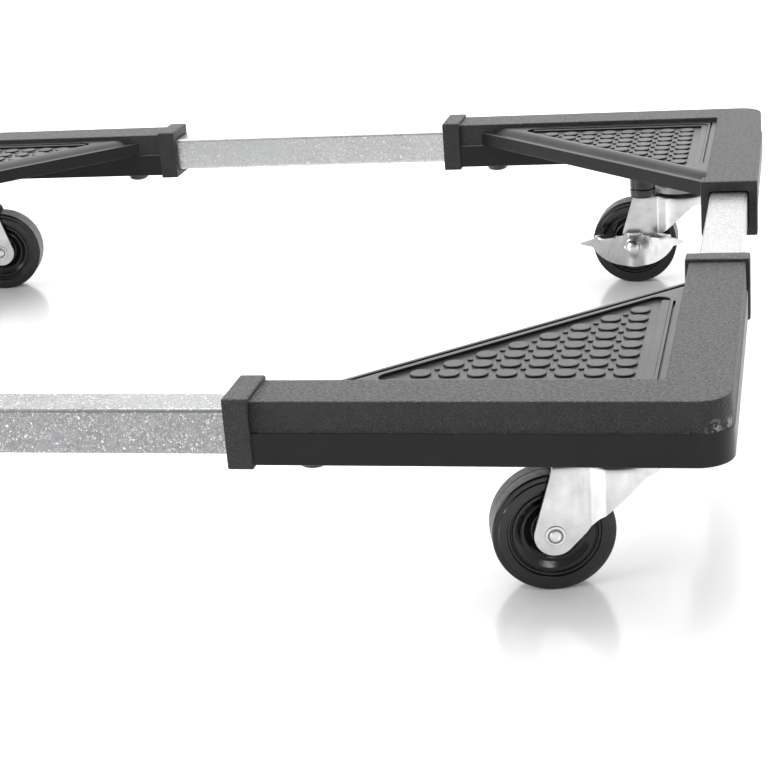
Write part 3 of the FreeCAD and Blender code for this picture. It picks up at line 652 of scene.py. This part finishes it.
def tube_mesh(length):
    """Square tube with soft corners, broken ends and a weld bead inside, along Z."""
    wall = 1.2
    half, inner = TUBE_HALF, TUBE_HALF - wall
    outside = [(-half, -half, 1.8), (half, -half, 1.8), (half, half, 1.8), (-half, half, 1.8)]
    inside = [(-inner, -inner, 0.8), (inner, -inner, 0.8), (inner, inner, 0.8), (-inner, inner, 0.8)]

    def with_seam(outline, rises):
        """Extra points along one face, each raised by its share of the weld bead."""
        made = []
        for index, spot in enumerate(outline):
            made.append(spot)
            after = outline[(index + 1) % len(outline)]
            if (after - spot).length > half and spot.y < 0 and after.y < 0:
                for x, rise in zip((-1.2, -0.6, 0.0, 0.6, 1.2), rises):
                    made.append(Vector((x, spot.y + rise)))
        return made

    def plain(grow=0.0):
        return with_seam(rounded(outside, grow), (0.0, 0.0, 0.0, 0.0, 0.0))

    def beaded(grow=0.0):
        return with_seam(rounded(inside, grow), (0.0, 0.3, 0.42, 0.3, 0.0))

    end, broken = length / 2, 0.2
    levels = [(-end + broken, plain()), (end - broken, plain()), (end, plain(-broken)), (end, beaded(0.15)),
              (end - broken, beaded()), (-end + broken, beaded()), (-end, beaded(0.15)), (-end, plain(-broken))]
    bm = bmesh.new()
    rings = [[bm.verts.new((spot.x, spot.y, height)) for spot in outline] for height, outline in levels]
    for ring, following in zip(rings, rings[1:] + rings[:1]):
        for index in range(len(ring)):
            after = (index + 1) % len(ring)
            bm.faces.new((ring[index], ring[after], following[after], following[index]))
    bmesh.ops.recalc_face_normals(bm, faces=bm.faces[:])
    return bm


for name in ("front_tube", "back_tube", "left_tube", "right_tube"):
    low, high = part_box(name)
    along_x = high.x - low.x > high.y - low.y
    mesh = tube_mesh(max(high - low) / MM)
    seat = Matrix.Translation((low + high) / 2) @ (ALONG_X if along_x else ALONG_Y)
    place("galvanised_" + name, mesh, seat, [TUBE_ZINC_AND_LIGHT[name]], name, [name])


def clamp_screw_mesh():
    """Domed screw, its head's seat at z = 0 and its slot along X."""
    depth, radius, shank, shank_top = 5.2, 6.7, 3.0, 2.7
    edge = [(0, -depth, 0), (2.6, -depth, 2.0), (6.0, -4.0, 1.8), (radius, -1.6, 0.6), (radius, 0, 0.3),
            (shank, 0, 0.2), (shank, shank_top, 0), (0, shank_top, 0)]
    head = lathe(soft_outline(edge), 72)
    slot = block(-8, 8, -0.7, 0.7, -7, 1.0 - depth, 0, 0, 0.2)
    return combine(head, ("DIFFERENCE", slot))


screw_mesh = clamp_screw_mesh()
for name in nodes:
    if name.startswith("clamp_screw_"):
        low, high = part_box(name)
        seat = Matrix.Translation(((low.x + high.x) / 2, (low.y + high.y) / 2, SCREW_SEAT * MM))
        place("domed_" + name, screw_mesh, seat, [SCREW_BLACK], name, [name], 40)


# ---------------------------------------------------------------- casters

def middle(node):
    """Centre of a node's box."""
    low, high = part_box(node)
    return (low + high) / 2


def caster_frame(name):
    """Local frame of a caster: the swivel axis at the origin, the wheel trailing towards -X."""
    axis, wheel = middle("kingpin_" + name), middle("tyre_" + name)
    heading = math.atan2(axis.y - wheel.y, axis.x - wheel.x)
    return Matrix.Translation((axis.x, axis.y, 0)) @ Matrix.Rotation(heading, 4, "Z")


def smooth_step(value):
    value = min(max(value, 0.0), 1.0)
    return value * value * (3 - 2 * value)


def fork_plan(grow, height):
    """Plan of the fork at one height: two legs that step out into a round head with pressing creases."""
    bend_x, leg_bend_x, rear = -7.0, -12.2, -54.0
    side = math.sqrt(HEAD_RADIUS ** 2 - (bend_x - HEAD_X) ** 2)
    sweep = math.atan2(side, bend_x - HEAD_X)
    corners = [(rear, -LEG_OUTER, 0), (leg_bend_x, -LEG_OUTER, 1.8)]
    count = 96
    for index in range(count + 1):
        angle = -sweep + 2 * sweep * index / count
        corners.append((HEAD_X + HEAD_RADIUS * math.cos(angle), HEAD_RADIUS * math.sin(angle), 0))
    corners += [(leg_bend_x, LEG_OUTER, 1.8), (rear, LEG_OUTER, 0)]
    outline = rounded(corners, grow, 6)
    deepest, fade_top, fade = 0.55, 54.0, 8.0
    depth = deepest * smooth_step((fade_top - height) / fade)
    margin, blend = 0.35, 0.5
    for spot in outline:
        around = math.atan2(spot.y, spot.x - HEAD_X)
        share = smooth_step((sweep - margin - abs(around)) / blend)
        uneven = around * 8.6 + 0.7 * math.sin(around * 3 + 1)
        crease = 0.5 - 0.5 * math.cos(uneven)
        pull = depth * share * crease ** 2
        spot -= Vector((math.cos(around), math.sin(around))) * pull
    return outline


def fork_levels(inset, top, edge):
    """Levels of the fork's plan, close together where its creases fade, rounded over at the top."""
    plain_low, plain_high, creased = 12.0, 38.0, 40.0
    heights = [plain_low, plain_high] + [creased + step for step in range(int(top - edge - creased) + 1)]
    levels = [(height, fork_plan(-inset, height)) for height in heights]
    for step in range(1, 6):
        angle = math.pi / 2 * step / 5
        height = top - edge * (1 - math.sin(angle))
        levels.append((height, fork_plan(-inset - edge * (1 - math.cos(angle)), height)))
    return levels


def fork_side():
    """Side outline of the fork: raked legs with round ends and a bowed, slightly ragged lower edge."""
    rear_top, skirt_z, end, beyond = -26.7, 50.6, LEG_END, HEAD_X + HEAD_RADIUS + 2
    bow = [(-14.0, 26.8, 8), (-9.0, 33.5, 8), (0.0, 42.1, 8), (4.6, 45.9, 0), (5.6, 47.2, 0), (7.4, 48.1, 0),
           (9.0, 49.6, 0), (11.0, 50.6, 0.5)]
    rear_angle = math.atan2(rear_top + TRAIL + end, CROWN_TOP - WHEEL_RADIUS)
    low_angle = math.atan2(bow[0][1] - WHEEL_RADIUS + end * 0.7, bow[0][0] + TRAIL - end * 0.7)
    corners = bow + [(beyond, skirt_z, 0), (beyond, CROWN_TOP + 1, 0), (rear_top, CROWN_TOP + 1, 0)]
    start, finish = math.pi - rear_angle, 1.5 * math.pi + low_angle
    for step in range(25):
        angle = start + (finish - start) * step / 24
        corners.append((-TRAIL + end * math.cos(angle), WHEEL_RADIUS + end * math.sin(angle), 0))
    return moved(slab(corners, -21, 21), UPRIGHT)


def fork_mesh():
    """Pressed sheet fork."""
    crown_edge, inner_edge, stem_radius, axle_radius = 2.2, 0.9, 5.1, 3.05
    outer = stack(fork_levels(0.0, CROWN_TOP, crown_edge))
    inner = stack(fork_levels(SHEET, CROWN_TOP - SHEET, inner_edge))
    moved(inner, Matrix.Translation((0, 0, -0.01)))
    stem = stack([(height, circle(stem_radius)) for height in (40, 60)])
    axle = moved(stack([(height, circle(axle_radius)) for height in (-14, 14)]), ON_AXLE @ ABOUT_Y)
    return combine(outer, ("DIFFERENCE", inner), ("INTERSECT", fork_side()), ("DIFFERENCE", stem),
                   ("DIFFERENCE", axle))


def wheel_core_mesh():
    """Moulded wheel centre: long hub, dished web and stepped rim, alike on both sides."""
    half = [(4.37, 8.0, 0.2), (7.6, 8.0, 0.4), (8.2, 7.4, 0.3), (8.8, 3.6, 0.7), (12.9, 5.7, 0.7),
            (13.3, 5.3, 0.3), (14.0, 5.6, 0.4), (16.4, 7.0, 0.9), (17.4, 7.0, 0.3), (17.7, 6.2, 0.25),
            (18.3, 6.2, 0.25), (18.6, 7.1, 0.3), (19.5, 7.2, 0.0)]
    return lathe_both(half, 128)


def tyre_mesh():
    """Solid tyre: stepped face, soft shoulder, and a fine moulding seam round the tread."""
    half = [(19.5, 7.1, 0.0), (19.9, 8.4, 0.35), (23.1, 8.6, 0.35), (23.5, 8.0, 0.3), (26.0, 8.0, 1.0),
            (26.0, 0.4, 0.0), (25.9, 0.25, 0.0), (26.0, 0.12, 0.0)]
    return lathe_both(half, 144)


def lathe_both(half, count):
    """Lathe of a shape alike on both sides; half lists (radius, height, rounding) of its upper side."""
    lower = [(radius, -height, rounding) for radius, height, rounding in half]
    upper = [(radius, height, rounding) for radius, height, rounding in reversed(half)]
    return lathe(soft_outline(lower + upper), count)


def tyre_finish(centre, normal):
    """1 on the tread."""
    return 1 if math.hypot(centre.x, centre.z) > 25.6 and abs(centre.y) < 7.3 else 0


def rivet_finish(centre, normal):
    """1 in the rings at the rivet's foot and round its button, which take the dark steel as painted shade."""
    away = math.hypot(centre.x, centre.z)
    return 1 if away > 4.25 or 2.75 < away < 3.25 else 0


def rivet_mesh():
    """Axle riveted over at both legs: a rolled flange round a domed button."""
    face = LEG_OUTER
    half = [(3.0, face - 0.1, 0.0), (3.0, face, 0.0), (4.4, face, 0.0), (4.4, face + 0.35, 0.1),
            (4.2, face + 0.6, 0.15), (3.3, face + 0.65, 0.15), (3.2, face + 0.15, 0.05),
            (2.8, face + 0.15, 0.05), (2.3, face + 1.15, 0.45), (1.2, face + 1.28, 0.3)]
    lower = [(radius, -height, rounding) for radius, height, rounding in reversed(half)]
    outline = [(0, -face - 1.25, 0)] + lower + half + [(0, face + 1.25, 0)]
    return lathe(soft_outline(outline), 48)


def hexagon(across, low, high, chamfer_low, chamfer_high):
    """Hexagonal block along Z with chamfered corners at the ends asked for."""
    radius = across / math.sqrt(3)
    points = [(spot.x, spot.y, 0) for spot in circle(radius, count=6)]
    inward, drop = 0.62, 0.75
    outline = [(0, low), (radius - (inward if chamfer_low else 0) - 0.2, low),
               (radius + 0.3, low + (drop if chamfer_low else 0)),
               (radius + 0.3, high - (drop if chamfer_high else 0)),
               (radius - (inward if chamfer_high else 0) - 0.2, high), (0, high)]
    return combine(slab(points, low, high), ("INTERSECT", lathe(outline, 60)))


def axle_bolt_mesh():
    """Long bolt of a braked caster; its axis on Z, its head towards +Z."""
    tail, into_head, radius = LEVER_INNER + LEVER_SHEET + 5.2, LEG_OUTER + 0.5, 2.9
    shank = soft_outline([(0, -tail, 0), (radius, -tail, 0.4), (radius, into_head, 0), (0, into_head, 0)])
    head = hexagon(8.0, LEG_OUTER, LEG_OUTER + 3.5, False, True)
    return combine(lathe(shank, 40), ("UNION", head))


def acorn_nut_mesh():
    """Hexagonal nut with a domed end towards -Z."""
    start = LEVER_INNER + LEVER_SHEET + 0.3
    nut = hexagon(9.6, -start - 5.0, -start, True, True)
    low, radius, dome_height = -start - 8.8, 4.65, 3.9
    angles = [math.pi / 2 * step / 10 for step in range(1, 11)]
    dome = [(0, low)]
    dome += [(radius * math.sin(angle), low + dome_height * (1 - math.cos(angle))) for angle in angles]
    dome += [(radius, low + 4.8), (0, low + 4.8)]
    bore = stack([(-start - 4.9, circle(3.0)), (-start + 1, circle(3.0))])
    return combine(nut, ("UNION", lathe(dome, 56)), ("DIFFERENCE", bore))


def lever_height(x):
    """Lower and upper edge of the brake lever at a place along it."""
    away = abs(x)
    level, hump, droop = 6.0, 2.0, 1.4
    top = level + hump * smooth_step((6.2 - away) / 1.8) - droop * smooth_step((away - 24.0) / 8.0)
    bow_end, bow_centre, bow_radius = 25.0, 14.33, 28.33
    if away < bow_end:
        low = bow_centre - math.sqrt(bow_radius ** 2 - x * x)
    else:
        low = 1.0 + 2.4 * (away - bow_end) / (LEVER_HALF - bow_end)
    return low, top


def lever_lean(x, z):
    """Distance of the lever's inner face from the wheel's middle plane at one place.

    The wings bend outwards, a crease runs below the nut and a bulge above it."""
    beyond, rise, soft = abs(x) - WING_START, math.tan(WING_BEND), 2.2
    bent = (rise * (math.sqrt(beyond ** 2 + soft) + beyond) / 2
            - rise * (math.sqrt(WING_START ** 2 + soft) - WING_START) / 2)
    crease = 1.1 * math.exp(-(x / 3.2) ** 2) * smooth_step((-z - 4.5) / 5.0)
    bulge = 2.6 * math.sqrt(max(1 - (x / 4.9) ** 2, 0.0)) * smooth_step((z - 5.7) / 0.9)
    return LEVER_INNER + bent + crease + bulge


def sheet_solid(front, back):
    """Closed solid between two grids of points, each a list of rows."""
    bm = bmesh.new()
    layers = [[[bm.verts.new(spot) for spot in row] for row in grid] for grid in (front, back)]
    rows, columns = len(front), len(front[0])
    for layer in layers:
        for i in range(rows - 1):
            for j in range(columns - 1):
                bm.faces.new((layer[i][j], layer[i][j + 1], layer[i + 1][j + 1], layer[i + 1][j]))
    rim = [(0, j) for j in range(columns)] + [(i, columns - 1) for i in range(1, rows)]
    rim += [(rows - 1, j) for j in range(columns - 2, -1, -1)] + [(i, 0) for i in range(rows - 2, 0, -1)]
    for (a, b), (c, d) in zip(rim, rim[1:] + rim[:1]):
        bm.faces.new((layers[0][a][b], layers[0][c][d], layers[1][c][d], layers[1][a][b]))
    return bm


def lever_mesh():
    """Stamped rocker on the axle bolt: boat-shaped plate with a rolled pedal on each wing."""
    columns, rows = 129, 33
    grids = []
    for layer in (0.0, LEVER_SHEET):
        grid = []
        for j in range(rows):
            row = []
            for i in range(columns):
                x = -LEVER_HALF + 2 * LEVER_HALF * i / (columns - 1)
                low, top = lever_height(x)
                z = low + (top - low) * j / (rows - 1)
                row.append((x, -lever_lean(x, z) - layer, z))
            grid.append(row)
        grids.append(grid)
    plate = sheet_solid(*grids)
    steps = [("UNION", pedal(side)) for side in (-1, 1)]
    hole = stack([(LEVER_INNER - 2, circle(3.06)), (LEVER_INNER + 4, circle(3.06))])
    return combine(plate, *steps, ("DIFFERENCE", moved(hole, UPRIGHT)))


def pedal(side):
    """Tab that rises from a wing's top edge, bends outwards and rolls over at its end."""
    length, sheet, across = 13.0, 1.3, 15
    root, set_in, upright_to = 0.75, 0.7, 1.2
    flat_from, flat_length, flat_height = 2.2, 5.8, 8.5
    path = [(root, 4.2), (root, 6.2), (0.9, 7.2), (1.4, 8.0), (flat_from, flat_height)]
    path += [(flat_from + reach, flat_height - 0.02 * reach ** 2.4)
             for reach in (1.0, 2.0, 3.0, 4.0, 5.0, flat_length)]
    grids = []
    for layer in (0.0, -sheet):
        grid = []
        for out, height in path:
            share = max(out - flat_from, 0.0) / flat_length
            width = length / 2 * math.sqrt(max(1 - 0.8 * share ** 2.6, 0.05))
            drop = (layer if out > upright_to else 0.0) * min(1.0, (out - root) / 1.4)
            row = []
            for i in range(across):
                along = PEDAL_CENTRE + width * (2 * i / (across - 1) - 1)
                row.append((along, out, height + drop))
            grid.append(row)
        grids.append(grid)
    for row in grids[0]:
        for i, (along, out, height) in enumerate(row):
            row[i] = (along, out - (set_in if out < upright_to else 0.0), height)
    turn = Matrix.Translation((WING_START, -LEVER_INNER, 0)) @ Matrix.Rotation(-WING_BEND, 4, "Z")
    flip = Matrix.Diagonal((1, -1, 1, 1))
    tab = moved(sheet_solid(*grids), turn @ flip)
    return tab if side > 0 else moved(tab, Matrix.Diagonal((-1, 1, 1, 1)))


fork_source, core_source, tyre_source, rivet_source = fork_mesh(), wheel_core_mesh(), tyre_mesh(), rivet_mesh()
bolt_source, nut_source, lever_source = axle_bolt_mesh(), acorn_nut_mesh(), lever_mesh()
for source in (core_source, tyre_source, rivet_source):
    bmesh.ops.recalc_face_normals(source, faces=source.faces[:])
for source in (core_source, tyre_source, rivet_source, bolt_source, nut_source):
    source.transform(ABOUT_Y)

for name in CORNERS:
    local = caster_frame(name)
    axle = local @ Matrix.Translation((-TRAIL * MM, 0, WHEEL_RADIUS * MM))
    place("pressed_fork_" + name, fork_source, local, [FORK], "caster_" + name, ["fork_" + name],
          38)
    place("wheel_centre_" + name, core_source, axle, [WHEEL_GLOSS], "wheel_" + name, ["wheel_core_" + name],
          40)
    place("wheel_tyre_" + name, tyre_source, axle, [TYRE_GLOSS, TREAD], "wheel_" + name, ["tyre_" + name],
          40, tyre_finish)
    if name in BRAKED:
        offset = local.inverted() @ middle("brake_lever_" + name)
        outward = axle @ Matrix.Rotation(math.pi if offset.y > 0 else 0.0, 4, "Z")
        place("bolt_" + name, bolt_source, outward, [BRIGHT], "caster_" + name, ["axle_bolt_" + name])
        place("acorn_nut_" + name, nut_source, outward, [BRIGHT], "caster_" + name, ["brake_nut_" + name])
        place("stamped_lever_" + name, lever_source, outward, [LEVER], "brake_" + name, ["brake_lever_" + name],
              34)
    else:
        # The rivet's foot ring and button ring take the dark steel: painted shade.
        place("rolled_rivet_" + name, rivet_source, axle, [BRIGHT, DARK_STEEL_AND_SHADE], "caster_" + name,
              ["axle_rivet_" + name], 32, rivet_finish)
    for piece, finish in (("kingpin_", BRIGHT), ("upper_race_", DARK_STEEL_AND_SHADE), ("swivel_balls_", DARK_STEEL_AND_SHADE),
                          ("axle_sleeve_", BRIGHT), ("axle_washers_", BRIGHT)):
        carried = nodes[piece + name]
        carried.data.materials.clear()
        carried.data.materials.append(finish)

for source in (corner_mesh, screw_mesh, fork_source, core_source, tyre_source, rivet_source, bolt_source,
               nut_source, lever_source):
    source.free()


# ---------------------------------------------------------------- floor, light and camera

floor_finish = Finish("studio_floor", Base_Color=(0.93, 0.93, 0.93, 1), Roughness=0.16, IOR=1.9)
floor_mesh = bpy.data.meshes.new("studio_floor")
side, behind = 6, 9
floor_mesh.from_pydata([(-side, -side, 0), (side, -side, 0), (side, behind, 0), (-side, behind, 0)], [],
                       [(0, 1, 2, 3)])
floor_mesh.materials.append(floor_finish.material)
floor = bpy.data.objects.new("studio_floor", floor_mesh)
scene.collection.objects.link(floor)

world = bpy.data.worlds.new("studio")
world.use_nodes = True
sky = world.node_tree.nodes
direction = sky.new("ShaderNodeTexCoord")
parts_of_direction = sky.new("ShaderNodeSeparateXYZ")
fade = sky.new("ShaderNodeMapRange")
for socket, value in (("From Min", -0.8), ("From Max", 0.8), ("To Min", 0.36), ("To Max", 1.8)):
    fade.inputs[socket].default_value = value
sky["Background"].inputs["Color"].default_value = (1, 1, 1, 1)
world.node_tree.links.new(direction.outputs["Generated"], parts_of_direction.inputs[0])
world.node_tree.links.new(parts_of_direction.outputs["Y"], fade.inputs["Value"])
world.node_tree.links.new(fade.outputs["Result"], sky["Background"].inputs["Strength"])
scene.world = world


def softbox(name, position, target, width, height, power):
    """Rectangular light that faces its target; sizes in metres, power in watts."""
    light = bpy.data.lights.new(name, "AREA")
    light.shape, light.size, light.size_y, light.energy = "RECTANGLE", width, height, power
    made = bpy.data.objects.new(name, light)
    made.location = position
    made.rotation_euler = (Vector(target) - Vector(position)).to_track_quat("-Z", "Y").to_euler()
    scene.collection.objects.link(made)


softbox("left_softbox", (-1.9, -1.1, 1.1), (0.1, -0.1, 0.05), 1.8, 1.4, 42)
softbox("front_softbox", (1.3, -1.9, 1.25), (0.2, -0.2, 0.03), 0.6, 0.5, 7)
softbox("top_softbox", (0.2, 0.6, 2.2), (0.1, 0.0, 0.0), 2.2, 2.2, 40)

camera_data = bpy.data.cameras.new("camera")
camera_data.sensor_width = 36.0
camera_data.lens = 90.41
camera_data.shift_x, camera_data.shift_y = 0.0199, 0.0380
camera = bpy.data.objects.new("camera", camera_data)
camera.location = (0.31786, -0.96549, 0.35218)
camera.rotation_euler = (1.2206354, 0.0759283, 0.2083427)
scene.collection.objects.link(camera)
scene.camera = camera
scene.view_settings.view_transform = "Standard"
